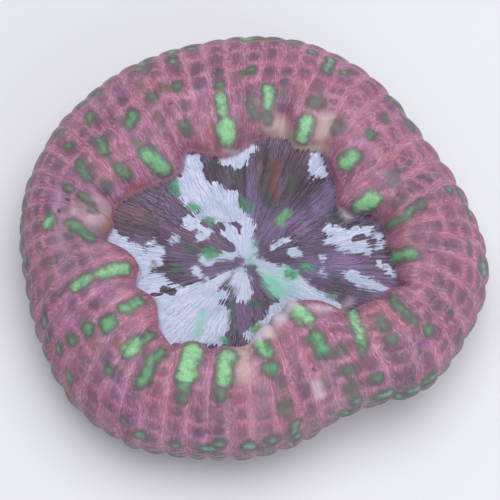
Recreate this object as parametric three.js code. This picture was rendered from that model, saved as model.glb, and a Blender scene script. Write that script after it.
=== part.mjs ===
// A scolymia coral: one large polyp with a sunken oval disc inside a puffed ring of flesh.
// The ring carries rows of swollen lumps, one row over each septum of the skeleton, and hangs
// over the stub of that skeleton, which is cut off flat where it grew from the rock.
// Millimetres, +Z up. The origin is on the cut, under the middle of the coral's outline.

import * as THREE from "three";

const mouth = { x: -1.5, y: -8.1, z: 18.3 };

// The coral's outline and the disc's lobed edge, as [degrees around the mouth, radius].
const outline = [
  [0, 46.8], [20, 46.0], [40, 46.1], [60, 50.0], [80, 52.5], [100, 51.9], [120, 51.2],
  [140, 49.5], [160, 46.5], [180, 42.6], [200, 41.2], [220, 41.1], [240, 39.4], [255, 37.0],
  [270, 36.2], [285, 35.1], [300, 34.2], [312, 36.0], [325, 41.2], [340, 43.4],
];
const discEdge = [
  [2, 27.0], [12, 27.0], [19, 26.0], [25, 21.5], [31, 20.5], [38, 22.5], [50, 25.0],
  [57, 27.0], [66, 25.4], [74, 27.0], [84, 25.2], [94, 22.3], [102, 21.8], [110, 23.4],
  [117, 25.0], [124, 22.0], [135, 22.5], [144, 24.0], [152, 26.0], [160, 26.8], [167, 25.8],
  [174, 26.2], [181, 21.8], [189, 19.7], [200, 21.2], [208, 18.6], [220, 20.4], [233, 22.6],
  [243, 20.0], [266, 18.6], [279, 15.4], [290, 13.8], [302, 12.8], [312, 12.6], [319, 15.5],
  [326, 21.0], [334, 24.8], [339, 26.4], [346, 29.2], [354, 28.4],
];

// The ring of flesh in section, as [way over it from the disc, share of the way out, height].
const ringSection = [
  [0, 0, 20.0], [2.4, 0.01, 22.3], [5.1, 0.06, 24.6], [8.1, 0.17, 26.2], [11.7, 0.33, 26.8],
  [16, 0.52, 26.0], [20.8, 0.71, 23.6], [26, 0.87, 19.8], [31, 0.97, 15.2], [35, 1, 11.6],
  [38.5, 0.965, 8.2], [41, 0.9, 6.4],
];
const ringWay = 41;

// How far the rim is lifted off the ground it once lay on, as [degrees, height at the lip].
const rimLift = [
  [0, 0.6], [60, 1.2], [130, -0.4], [200, -0.8], [250, -0.8], [285, 0.6], [315, 3.4], [340, 1.4],
];

// How far a row turns aside on its way in over the ring, as [degrees, degrees].
const rowBend = [
  [0, 2], [27, -24], [50, -6], [90, 0], [125, 15], [148, 24], [172, 2], [192, -14],
  [240, -17], [265, -6], [295, 0], [312, 8], [326, 26], [352, 6],
];

// The rows that start at the disc, in degrees. Lesser rows fill the ring between them.
const mainRows = [
  1, 20, 35, 49.5, 68, 83, 97, 108, 123, 132.5, 142, 150.5, 166, 190, 209, 225.5, 237,
  250.5, 262, 284.5, 292, 305, 313, 321, 333, 346,
];
const rowPitch = 4.9;

const lumpsPerRow = 10;
const lumpShift = 0.6;
const shiftPerRow = 2.4;
const shiftPerLump = 1.7;
const rowRise = 0.55;
const rowGroove = 0.35;
const lumpGap = 0.5;

// The main rows swell into lobes at the disc, and the lesser rows begin behind these.
const lobeRise = 0.9;
const lobeMiddle = 7;
const lobeReach = 6;
const lobeFoot = 3;
const lesserRowStart = 4;
const lesserRowFull = 12;

const discRings = 5;
const discFoldRise = 0.3;

const stub = { lipTuck: 0.84, lipHeight: 5.6, neck: 0.72, neckHeight: 3.2, foot: 0.7 };
const costaRise = 0.5;

const fullTurn = 360;
const probe = 0.05;

// A smooth curve through points, by way of the slope from each point's neighbours.
function smoothCurve(points) {
  const last = points.length - 1;
  const slope = (index) => {
    const before = points[Math.max(index - 1, 0)];
    const after = points[Math.min(index + 1, last)];
    return (after[1] - before[1]) / (after[0] - before[0]);
  };
  return (at) => {
    const next = points.findIndex((point) => point[0] > at);
    const end = next === -1 ? last : Math.max(next, 1);
    const [fromAt, fromValue] = points[end - 1];
    const [toAt, toValue] = points[end];
    const span = toAt - fromAt;
    const part = (at - fromAt) / span;
    const rest = 1 - part;
    const startWeight = (1 + 2 * part) * rest * rest;
    const endWeight = part * part * (3 - 2 * part);
    const startPull = part * rest * rest * span * slope(end - 1);
    const endPull = -rest * part * part * span * slope(end);
    return startWeight * fromValue + startPull + endWeight * toValue + endPull;
  };
}

// The same around the mouth, where the last point runs on into the first.
function smoothRound(points) {
  const turned = (turn) => points.map(([angle, value]) => [angle + turn, value]);
  const curve = smoothCurve([...turned(-fullTurn), ...points, ...turned(fullTurn)]);
  return (angle) => curve(THREE.MathUtils.euclideanModulo(angle, fullTurn));
}

const outlineAt = smoothRound(outline);
const discEdgeAt = smoothRound(discEdge);
const bendAt = smoothRound(rowBend);
const liftAt = smoothRound(rimLift);
const shareAt = smoothCurve(ringSection.map(([way, share]) => [way, share]));
const heightAt = smoothCurve(ringSection.map(([way, , height]) => [way, height]));

// Every row of lumps, in order around the ring: its angle, and how far it is from one main
// row to the next. A main row itself is at 0.
function makeRows() {
  const rows = [];
  mainRows.forEach((angle, index) => {
    const next = mainRows[index + 1] ?? mainRows[0] + fullTurn;
    const gap = next - angle;
    const arc = THREE.MathUtils.degToRad(gap) * outlineAt(angle + gap / 2);
    const steps = Math.max(Math.floor(arc / rowPitch + 0.5), 1);
    for (let step = 0; step < steps; step += 1) {
      rows.push({ angle: angle + (gap * step) / steps, between: step / steps, width: 1 / steps });
    }
  });
  return rows;
}

// A point from its angle at the outline, its share of the way out from disc edge, and height.
function pointOnRing(marginAngle, share, height) {
  const marginRadius = outlineAt(marginAngle);
  const straight = THREE.MathUtils.lerp(discEdgeAt(marginAngle), marginRadius, share);
  const angle = marginAngle + bendAt(marginAngle) * (1 - straight / marginRadius);
  const radius = THREE.MathUtils.lerp(discEdgeAt(angle), outlineAt(angle), share);
  const turn = THREE.MathUtils.degToRad(angle);
  const x = mouth.x + radius * Math.cos(turn);
  const y = mouth.y + radius * Math.sin(turn);
  return new THREE.Vector3(x, y, height);
}

function ringBase(marginAngle, way) {
  const lift = liftAt(marginAngle) * (way / ringWay) ** 2;
  return pointOnRing(marginAngle, shareAt(way), heightAt(way) + lift);
}

// The ring's surface, raised or sunk square to its section by the given rise.
function ringPoint(marginAngle, way, rise) {
  const from = ringBase(marginAngle, Math.max(way - probe, 0));
  const to = ringBase(marginAngle, Math.min(way + probe, ringWay));
  const along = to.sub(from);
  const outward = Math.hypot(along.x, along.y);
  const length = Math.hypot(outward, along.z);
  const point = ringBase(marginAngle, way);
  const aside = new THREE.Vector3(-along.x, -along.y, 0).multiplyScalar(along.z / (length * outward));
  point.addScaledVector(aside, rise);
  point.z += (rise * outward) / length;
  return point;
}

// Where a row's lump starts along the ring. Each row is shifted a little against the next.
function lumpStart(rowNumber, lump) {
  const pitch = ringWay / lumpsPerRow;
  const inside = lump > 0 && lump < lumpsPerRow;
  const turn = shiftPerRow * rowNumber + shiftPerLump * lump;
  const shift = inside ? lumpShift * Math.sin(turn) : 0;
  return lump * pitch + shift;
}

// The swollen lobe at the head of each main row, seen at a place between two main rows.
function lobeRelief(between, way) {
  const fromCrest = 1 - Math.abs(1 - 2 * between);
  const swell = Math.max(1 - ((way - lobeMiddle) / lobeReach) ** 2, 0);
  const crest = rowRise + lobeRise * swell;
  return THREE.MathUtils.lerp(crest, -rowGroove, fromCrest * fromCrest);
}

// The relief at one point: lobes beside the disc, that give way to rows of lumps further out.
function ringRelief(between, way, outerRelief) {
  const risen = THREE.MathUtils.smoothstep(way, 0, lobeFoot);
  const outer = THREE.MathUtils.smoothstep(way, lesserRowStart, lesserRowFull);
  return risen * THREE.MathUtils.lerp(lobeRelief(between, way), outerRelief, outer);
}

// One column of points from the disc's edge over the ring to its lower lip. The even columns
// run along the crest of a row, and the odd ones along the groove beside it.
function ringColumn(rows, column) {
  const rowNumber = Math.floor(column / 2);
  const row = rows[rowNumber];
  const nextNumber = (rowNumber + 1) % rows.length;
  const onGroove = column % 2 === 1;
  const nextAngle = rows[nextNumber].angle + (nextNumber === 0 ? fullTurn : 0);
  const angle = onGroove ? (row.angle + nextAngle) / 2 : row.angle;
  const between = onGroove ? row.between + row.width / 2 : row.between;
  const startOf = (number, lump) => {
    const low = lumpStart(number, Math.floor(lump));
    return (low + lumpStart(number, Math.ceil(lump))) / 2;
  };
  const points = [];
  for (let step = 0; step <= 2 * lumpsPerRow; step += 1) {
    const lump = step / 2;
    const here = startOf(rowNumber, lump);
    const way = onGroove ? (here + startOf(nextNumber, lump)) / 2 : here;
    const crest = step % 2 === 0 ? rowRise - lumpGap : rowRise;
    const relief = ringRelief(between, way, onGroove ? -rowGroove : crest);
    points.push(ringPoint(angle, way, relief));
  }
  return { angle, points, onRidge: between === 0, onGroove };
}

// The disc's points in one column, from beside the mouth to beside the ring.
function discColumn(angle, onRidge) {
  const points = [];
  const edge = ringBase(angle, 0);
  for (let ring = 1; ring <= discRings; ring += 1) {
    const share = ring / (discRings + 1);
    const fold = onRidge ? discFoldRise * share : 0;
    const x = THREE.MathUtils.lerp(mouth.x, edge.x, share);
    const y = THREE.MathUtils.lerp(mouth.y, edge.y, share);
    const z = THREE.MathUtils.lerp(mouth.z, edge.z, share * share) + fold;
    points.push(new THREE.Vector3(x, y, z));
  }
  return points;
}

// The bare skeleton under the flesh, drawn in to a neck and standing on its cut.
function stubColumn(angle, onGroove) {
  const radius = outlineAt(angle);
  const lift = liftAt(angle);
  const rib = onGroove ? 0 : costaRise;
  const turn = THREE.MathUtils.degToRad(angle);
  const steps = [
    [radius * stub.lipTuck, stub.lipHeight + lift],
    [radius * stub.neck + rib, stub.neckHeight],
    [radius * stub.foot + rib, 0],
  ];
  return steps.map(([away, height]) => {
    const x = mouth.x + away * Math.cos(turn);
    const y = mouth.y + away * Math.sin(turn);
    return new THREE.Vector3(x, y, height);
  });
}

function coralColumns() {
  const rows = makeRows();
  const columns = [];
  for (let column = 0; column < 2 * rows.length; column += 1) {
    const ring = ringColumn(rows, column);
    const disc = discColumn(ring.angle, ring.onRidge);
    const foot = stubColumn(ring.angle, ring.onGroove);
    columns.push([...disc, ...ring.points, ...foot]);
  }
  return columns;
}

// One closed skin: the columns side by side, closed by a fan at the mouth and one on the cut.
function makeCoralGeometry() {
  const columns = coralColumns();
  const depth = columns[0].length;
  const positions = columns.flat().flatMap((point) => [point.x, point.y, point.z]);
  const mouthIndex = columns.length * depth;
  const cutIndex = mouthIndex + 1;
  positions.push(mouth.x, mouth.y, mouth.z, mouth.x, mouth.y, 0);
  const faces = [];
  columns.forEach((column, index) => {
    const here = index * depth;
    const beside = ((index + 1) % columns.length) * depth;
    faces.push(mouthIndex, here, beside);
    for (let row = 0; row < depth - 1; row += 1) {
      faces.push(here + row, here + row + 1, beside + row);
      faces.push(beside + row, here + row + 1, beside + row + 1);
    }
    faces.push(here + depth - 1, cutIndex, beside + depth - 1);
  });
  const geometry = new THREE.BufferGeometry();
  geometry.setAttribute("position", new THREE.Float32BufferAttribute(positions, 3));
  geometry.setIndex(faces);
  geometry.computeVertexNormals();
  return geometry;
}

const fleshMaterial = new THREE.MeshStandardMaterial({
  color: "#b4596f",
  roughness: 0.6,
  metalness: 0,
  flatShading: true,
});

const coral = new THREE.Mesh(makeCoralGeometry(), fleshMaterial);
coral.name = "scolymia_coral";

const group = new THREE.Group();
group.add(coral);

export default group;
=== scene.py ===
import functools
import math

import bpy
import numpy as np
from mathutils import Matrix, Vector, noise


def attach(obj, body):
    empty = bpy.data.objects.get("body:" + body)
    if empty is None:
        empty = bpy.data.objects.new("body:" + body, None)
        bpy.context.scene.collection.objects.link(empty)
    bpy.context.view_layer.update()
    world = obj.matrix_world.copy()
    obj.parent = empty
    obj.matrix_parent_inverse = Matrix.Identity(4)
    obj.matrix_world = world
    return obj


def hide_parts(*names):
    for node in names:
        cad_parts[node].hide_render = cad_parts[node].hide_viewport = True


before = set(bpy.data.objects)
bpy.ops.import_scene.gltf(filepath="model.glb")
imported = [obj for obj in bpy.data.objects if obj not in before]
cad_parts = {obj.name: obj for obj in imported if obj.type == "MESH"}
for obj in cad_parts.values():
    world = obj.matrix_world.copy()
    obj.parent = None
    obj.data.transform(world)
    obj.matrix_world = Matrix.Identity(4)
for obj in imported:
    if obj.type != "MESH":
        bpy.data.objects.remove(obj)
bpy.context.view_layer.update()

mm = 0.001
viewPixels = 500


def say(stage):
    print("scolymia coral:", stage)


# Camera: looks down on the coral from the front, with little perspective.
cameraView = {
    "target": (-0.55, -6.03, 19.5),   # mm
    "distance": 357.0,                # mm
    "elevation": 65.0,                # degrees above the horizon
    "lens": 135.0,
    "sensor": 36.0,
}


def makeCamera(view):
    tilt = math.radians(view["elevation"])
    back = Vector((0.0, -math.cos(tilt), math.sin(tilt)))
    data = bpy.data.cameras.new("camera")
    data.lens = view["lens"]
    data.sensor_width = view["sensor"]
    data.clip_start = 0.01
    data.clip_end = 10.0
    camera = bpy.data.objects.new("camera", data)
    camera.location = (Vector(view["target"]) + back * view["distance"]) * mm
    camera.rotation_euler = (math.radians(90.0) - tilt, 0.0, 0.0)
    bpy.context.scene.collection.objects.link(camera)
    bpy.context.scene.camera = camera


def inView(points, view):
    # where points in mm fall in the square picture, and how deep they lie
    tilt = math.radians(view["elevation"])
    back = np.array((0.0, -math.cos(tilt), math.sin(tilt)))
    up = np.array((0.0, math.sin(tilt), math.cos(tilt)))
    away = points - (np.array(view["target"]) + back * view["distance"])
    depth = -(away @ back)
    scale = view["lens"] / view["sensor"] * viewPixels / depth
    half = viewPixels / 2
    return half + away[..., 0] * scale, half - (away @ up) * scale, depth


makeCamera(cameraView)
say("camera is set")

# The coral's form, in mm and degrees. The solid's is the same but for the mouth's height, the
# disc's edge, the ring's inner section, and the rise of rows, gaps and lobes, refined here.
form = {
    "mouth": (-1.5, -8.1, 18.6),
    "outline": [  # degrees around the mouth, radius
        (0, 46.8), (20, 46.0), (40, 46.1), (60, 50.0), (80, 52.5), (100, 51.9), (120, 51.2),
        (140, 49.5), (160, 46.5), (180, 42.6), (200, 41.2), (220, 41.1), (240, 39.4), (255, 37.0),
        (270, 36.2), (285, 35.1), (300, 34.2), (312, 36.0), (325, 41.2), (340, 43.4),
    ],
    "discEdge": [  # degrees around the mouth, radius
        (2, 27.0), (12, 26.9), (19, 25.8), (25, 21.3), (31, 20.2), (38, 22.2), (50, 24.6),
        (57, 26.5), (66, 24.9), (74, 26.5), (84, 24.6), (94, 21.7), (102, 21.3), (110, 22.9),
        (117, 24.5), (124, 21.5), (135, 22.1), (144, 23.7), (152, 25.7), (160, 26.6), (167, 25.7),
        (174, 26.1), (181, 21.8), (189, 19.8), (200, 21.4), (208, 18.9), (220, 20.8), (233, 23.0),
        (243, 20.5), (266, 19.2), (279, 16.0), (290, 14.3), (302, 13.3), (312, 13.0), (319, 15.9),
        (326, 21.3), (334, 25.0), (339, 26.6), (346, 29.3), (354, 28.5),
    ],
    "ringSection": [  # way over the ring, share of the way out, height
        (0, 0, 21.2), (2.2, 0.03, 23.1), (4.7, 0.1, 25.0), (7.8, 0.2, 26.3), (11.7, 0.35, 26.8),
        (16, 0.52, 26.0), (20.8, 0.71, 23.6), (26, 0.87, 19.8), (31, 0.97, 15.2), (35, 1, 11.6),
        (38.5, 0.965, 8.2), (41, 0.9, 6.4),
    ],
    "ringWay": 41.0,
    "discWay": 24.0,     # the disc's own way from mouth to edge, on average
    "stubWay": 10.0,     # and the skeleton's, from the lip down to the cut
    "rimLift": [  # degrees, height at the lip
        (0, 0.6), (60, 1.2), (130, -0.4), (200, -0.8), (250, -0.8), (285, 0.6), (315, 3.4),
        (340, 1.4),
    ],
    "rowBend": [  # degrees, degrees turned aside
        (0, 2), (27, -24), (50, -6), (90, 0), (125, 15), (148, 24), (172, 2), (192, -14),
        (240, -17), (265, -6), (295, 0), (312, 8), (326, 26), (352, 6),
    ],
    "mainRows": [
        1, 20, 35, 49.5, 68, 83, 97, 108, 123, 132.5, 142, 150.5, 166, 190, 209, 225.5, 237,
        250.5, 262, 284.5, 292, 305, 313, 321, 333, 346,
    ],
    "rowPitch": 4.9,
    "lumpsPerRow": 10,
    "lumpShift": 0.6,
    "shiftPerRow": 2.4,
    "shiftPerLump": 1.7,
    "rowRise": 0.42,
    "rowGroove": 0.28,
    "lumpGap": 0.38,
    "lobeRise": 0.6,
    "lobeMiddle": 7.0,
    "lobeReach": 6.0,
    "lobeFoot": 3.0,
    "lesserRowStart": 4.0,
    "lesserRowFull": 12.0,
}

# How finely the skin is meshed: places across one row, and steps along each stretch.
meshing = {
    "acrossRow": (-1.0, -0.9, -0.72, -0.5, -0.25, 0.0, 0.25, 0.5, 0.72, 0.9),
    "discSteps": 32,
    "ringSteps": 106,
    "stubSteps": 16,
    "cutRings": 5,
    "lipSmoothings": 6,
    "lipReach": 2,           # mm before the lip where the smoothing starts
}


def smoothCurve(points):
    # a smooth line through points, by way of the slope from each point's neighbours
    at = np.array([point[0] for point in points], float)
    value = np.array([point[1] for point in points], float)
    before = np.maximum(np.arange(len(at)) - 1, 0)
    after = np.minimum(np.arange(len(at)) + 1, len(at) - 1)
    slope = (value[after] - value[before]) / (at[after] - at[before])

    def curve(where):
        where = np.asarray(where, float)
        start = np.clip(np.searchsorted(at, where, side="right") - 1, 0, len(at) - 2)
        span = at[start + 1] - at[start]
        part = (where - at[start]) / span
        rest = 1 - part
        near = (1 + 2 * part) * rest * rest * value[start] + part * rest * rest * span * slope[start]
        far = part * part * (3 - 2 * part) * value[start + 1]
        return near + far - rest * part * part * span * slope[start + 1]

    return curve


def smoothRound(points):
    turns = [(angle + turn, value) for turn in (-360, 0, 360) for angle, value in points]
    curve = smoothCurve(turns)
    return lambda angle: curve(np.mod(angle, 360.0))


def smoothStep(value, low, high):
    part = np.clip((value - low) / (high - low), 0, 1)
    return part * part * (3 - 2 * part)


outlineAt = smoothRound(form["outline"])
discEdgeAt = smoothRound(form["discEdge"])
bendAt = smoothRound(form["rowBend"])
liftAt = smoothRound(form["rimLift"])
shareAt = smoothCurve([(way, share) for way, share, height in form["ringSection"]])
heightAt = smoothCurve([(way, height) for way, share, height in form["ringSection"]])


def makeRows():
    # the crest of each row: its angle, and how far it is from one main row to the next
    rows = []
    mains = form["mainRows"]
    for number, angle in enumerate(mains):
        gap = (mains[number + 1] if number + 1 < len(mains) else mains[0] + 360) - angle
        arc = math.radians(gap) * float(outlineAt(angle + gap / 2))
        steps = max(int(math.floor(arc / form["rowPitch"] + 0.5)), 1)
        for step in range(steps):
            rows.append((angle + gap * step / steps, step / steps, 1 / steps))
    return rows


def makeColumns(rows):
    # every column of the skin: its angle, row, place across the row and between main rows
    angles, numbers, across, between = [], [], [], []
    for number, (angle, part, width) in enumerate(rows):
        last = rows[number - 1][0] - (360 if number == 0 else 0)
        following = rows[(number + 1) % len(rows)][0] + (360 if number + 1 == len(rows) else 0)
        lastWidth = rows[number - 1][2]
        for place in meshing["acrossRow"]:
            reach = (angle - last) / 2 if place < 0 else (following - angle) / 2
            angles.append(angle + place * reach)
            numbers.append(number)
            across.append(place)
            between.append((part + place * (lastWidth if place < 0 else width) / 2) % 1.0)
    return np.array(angles), np.array(numbers), np.array(across), np.array(between)


def pointOnRing(angle, share, height):
    marginRadius = outlineAt(angle)
    straight = discEdgeAt(angle) * (1 - share) + marginRadius * share
    bent = angle + bendAt(angle) * (1 - straight / marginRadius)
    radius = discEdgeAt(bent) * (1 - share) + outlineAt(bent) * share
    turn = np.radians(bent)
    x = form["mouth"][0] + radius * np.cos(turn)
    y = form["mouth"][1] + radius * np.sin(turn)
    return np.stack([x, y, height + 0 * x], -1)


def ringBase(angle, way):
    lift = liftAt(angle) * (way / form["ringWay"]) ** 2
    return pointOnRing(angle, shareAt(way), heightAt(way) + lift)


def discBase(angle, way):
    # way runs from -discWay at the mouth to 0 at the disc's edge
    share = (1 + way / form["discWay"])[..., None]
    mouth = np.array(form["mouth"])
    edge = ringBase(angle, 0 * way)
    point = mouth * (1 - share) + edge * share
    point[..., 2] = (mouth[2] + (edge[..., 2] - mouth[2]) * share[..., 0] ** 2)
    return point


stub = {  # share of the outline's radius, and height, down the skeleton from the lip
    "path": [(0.0, 0.9), (0.3, 0.84), (0.55, 0.75), (0.75, 0.718), (1.0, 0.70)],
    "heights": [(0.0, 5.9), (0.3, 5.6), (0.55, 4.6), (0.75, 2.6), (1.0, 0.0)],
    "costaRise": 0.5,
}


def stubBase(angle, way):
    part = (way - form["ringWay"]) / form["stubWay"]
    share = np.interp(part, *zip(*stub["path"]))
    height = np.interp(part, *zip(*stub["heights"]))
    lift = liftAt(angle) * (1 - smoothStep(part, 0.2, 0.75))
    radius = outlineAt(angle) * share
    turn = np.radians(angle)
    x = form["mouth"][0] + radius * np.cos(turn)
    y = form["mouth"][1] + radius * np.sin(turn)
    return np.stack([x, y, height + lift * (height > 0)], -1)


def lumpStarts(rowNumber):
    lumps = np.arange(form["lumpsPerRow"] + 1)
    pitch = form["ringWay"] / form["lumpsPerRow"]
    turn = form["shiftPerRow"] * rowNumber + form["shiftPerLump"] * lumps
    shift = form["lumpShift"] * np.sin(turn)
    shift[0] = shift[-1] = 0
    return lumps * pitch + shift


say("the form's curves are ready")

rows = makeRows()
columnAngle, columnRow, columnAcross, columnBetween = makeColumns(rows)
discWays = -form["discWay"] * (1 - np.arange(1, meshing["discSteps"]) / meshing["discSteps"])
ringWays = form["ringWay"] * np.arange(meshing["ringSteps"] + 1) / meshing["ringSteps"]
stubSteps = np.arange(1, meshing["stubSteps"] + 1)
stubWays = form["ringWay"] + form["stubWay"] * stubSteps / meshing["stubSteps"]
ways = np.concatenate([discWays, ringWays, stubWays])
gridAngle = np.repeat(columnAngle[:, None], len(ways), 1)
gridWay = np.repeat(ways[None, :], len(columnAngle), 0)

onDisc = gridWay < 0
onStub = gridWay > form["ringWay"]
onRing = ~onDisc & ~onStub


def makeBase():
    base = np.zeros(gridAngle.shape + (3,))
    for part, place in ((onDisc, discBase), (onRing, ringBase), (onStub, stubBase)):
        base[part] = place(gridAngle[part], gridWay[part])
    return base


def surfaceNormals(points):
    # outward normals of the grid, whose columns run on around the mouth
    around = np.roll(points, -1, 0) - np.roll(points, 1, 0)
    along = np.gradient(points, axis=1)
    normal = np.cross(along, around)
    return normal / np.maximum(np.linalg.norm(normal, axis=2, keepdims=True), 1e-9)


base = makeBase()
for smoothing in range(meshing["lipSmoothings"]):
    # rounds the corners of the lip and neck, above the cut
    soft = (gridWay > form["ringWay"] - meshing["lipReach"])[:, 1:-1]
    middle = (base[:, :-2] + 2 * base[:, 1:-1] + base[:, 2:]) / 4
    base[:, 1:-1][soft] = middle[soft]
baseNormal = surfaceNormals(base)
say("the plain form is meshed")


def lumpPlaces():
    # each point's lump in its row, its place along that lump, and the way to the lump's end
    lump = np.zeros(gridAngle.shape, int)
    along = np.zeros(gridAngle.shape)
    toEnd = np.zeros(gridAngle.shape)
    ringPart = np.clip(gridWay, 0, form["ringWay"])
    for number in range(len(rows)):
        members = columnRow == number
        starts = lumpStarts(number)
        here = ringPart[members]
        index = np.clip(np.searchsorted(starts, here, side="right") - 1, 0, len(starts) - 2)
        low, high = starts[index], starts[index + 1]
        lump[members] = index
        along[members] = 2 * (here - low) / (high - low) - 1
        toEnd[members] = np.minimum(here - low, high - here)
    return lump, along, toEnd


lump, lumpAlong, lumpEnd = lumpPlaces()
gridAcross = np.repeat(columnAcross[:, None], len(ways), 1)
gridBetween = np.repeat(columnBetween[:, None], len(ways), 1)
gridRow = np.repeat(columnRow[:, None], len(ways), 1)


def waves(points, size, seed):
    # soft unevenness, about -1 to 1, over places in mm
    offset = Vector((seed * 7.3, seed * 3.1, seed * 5.7))
    flat = points.reshape(-1, 3) / size
    values = [noise.noise(Vector(place) + offset) for place in flat]
    return np.array(values).reshape(points.shape[:-1])


relief = {
    "skinUneven": 0.22,      # mm, over patches of about 6 mm
    "skinFine": 0.07,        # mm, over patches of about 1.6 mm
    "discFold": 0.12,        # mm, rise of the disc's folds over the septa
    "discUneven": 0.3,
    "mouthDip": 1.0,
    "mouthSize": (1.9, 0.9),  # mm, half length and half width of the mouth's slit
    "rippleRise": 0.11,      # mm, the fine waves along the rim
    "rippleLength": 1.3,
    "rippleSway": 3.5,
    "rippleFrom": (31, 38),  # way over the ring where the ripples set in, and where they end
    "rippleTo": (42, 44),
    "farRimFlat": 0.5,       # how much flatter the lumps are along the far rim
    "farRimFrom": (40, 75),  # degrees
    "farRimTo": (145, 185),
    "farRimWay": (17, 25),
    "pillowPower": 2.4,      # how square a lump is across its row, and along it
    "swellPower": 2.6,
    "stubUneven": 0.25,
}


def reliefAt():
    pillow = 1 - np.abs(gridAcross) ** relief["pillowPower"]
    swellAlong = 1 - np.abs(lumpAlong) ** relief["swellPower"]
    rise, groove = form["rowRise"], form["rowGroove"]
    lumps = -groove + (rise + groove - form["lumpGap"] * (1 - swellAlong)) * pillow
    fromCrest = 1 - np.abs(1 - 2 * gridBetween)
    swell = np.clip(1 - ((gridWay - form["lobeMiddle"]) / form["lobeReach"]) ** 2, 0, 1)
    crest = rise + form["lobeRise"] * swell
    lobes = crest + (-groove - crest) * fromCrest ** 2
    outer = smoothStep(gridWay, form["lesserRowStart"], form["lesserRowFull"])
    farRim = smoothStep(gridAngle, *relief["farRimFrom"])
    farRim = farRim * (1 - smoothStep(gridAngle, *relief["farRimTo"]))
    farWay = smoothStep(gridWay, *relief["farRimWay"])
    lumps = lumps * (1 - relief["farRimFlat"] * farRim * farWay)
    ring = smoothStep(gridWay, 0, form["lobeFoot"]) * (lobes * (1 - outer) + lumps * outer)
    lipWay = form["ringWay"] + form["stubWay"] * 0.25
    ring = ring * (1 - smoothStep(gridWay, form["ringWay"] - 1, lipWay))
    sway = relief["rippleSway"] * waves(base, 6.0, 5)
    ripple = np.sin(2 * np.pi * gridWay / relief["rippleLength"] + sway)
    rim = smoothStep(gridWay, *relief["rippleFrom"]) * (1 - smoothStep(gridWay, *relief["rippleTo"]))
    ring = ring + relief["rippleRise"] * ripple * rim
    share = np.clip(1 + gridWay / form["discWay"], 0, 1)
    folds = relief["discFold"] * (pillow - 0.5) * smoothStep(share, 0.1, 0.7)
    folds = folds + relief["discUneven"] * waves(base, 4.0, 2) * share
    aside = base[..., :2] - np.array(form["mouth"][:2])
    slit = np.sum((aside / np.array(relief["mouthSize"])) ** 2, -1)
    folds = folds * (1 - smoothStep(gridWay, -1.5, 0)) - relief["mouthDip"] * np.exp(-slit)
    uneven = relief["skinUneven"] * waves(base, 6.0, 1) + relief["skinFine"] * waves(base, 1.6, 3)
    skin = np.where(onDisc, folds, ring + uneven * smoothStep(gridWay, 1, 6))
    stubDown = (gridWay - form["ringWay"]) / form["stubWay"]
    costae = stub["costaRise"] * (pillow - 0.2) + relief["stubUneven"] * waves(base, 1.4, 4)
    return np.where(onStub, skin * (1 - smoothStep(stubDown, 0.2, 0.5)), skin), \
        np.where(onStub, costae * smoothStep(stubDown, 0.35, 0.7), 0)


skinRelief, costaRelief = reliefAt()
levelNormal = baseNormal.copy()
levelNormal[..., 2] = 0
levelNormal /= np.maximum(np.linalg.norm(levelNormal, axis=2, keepdims=True), 1e-9)
skin = base + baseNormal * skinRelief[..., None] + levelNormal * costaRelief[..., None]
skin[:, -1, 2] = 0.0
skinNormal = surfaceNormals(skin)
say("rows, lumps, lobes and folds are raised")

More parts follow.
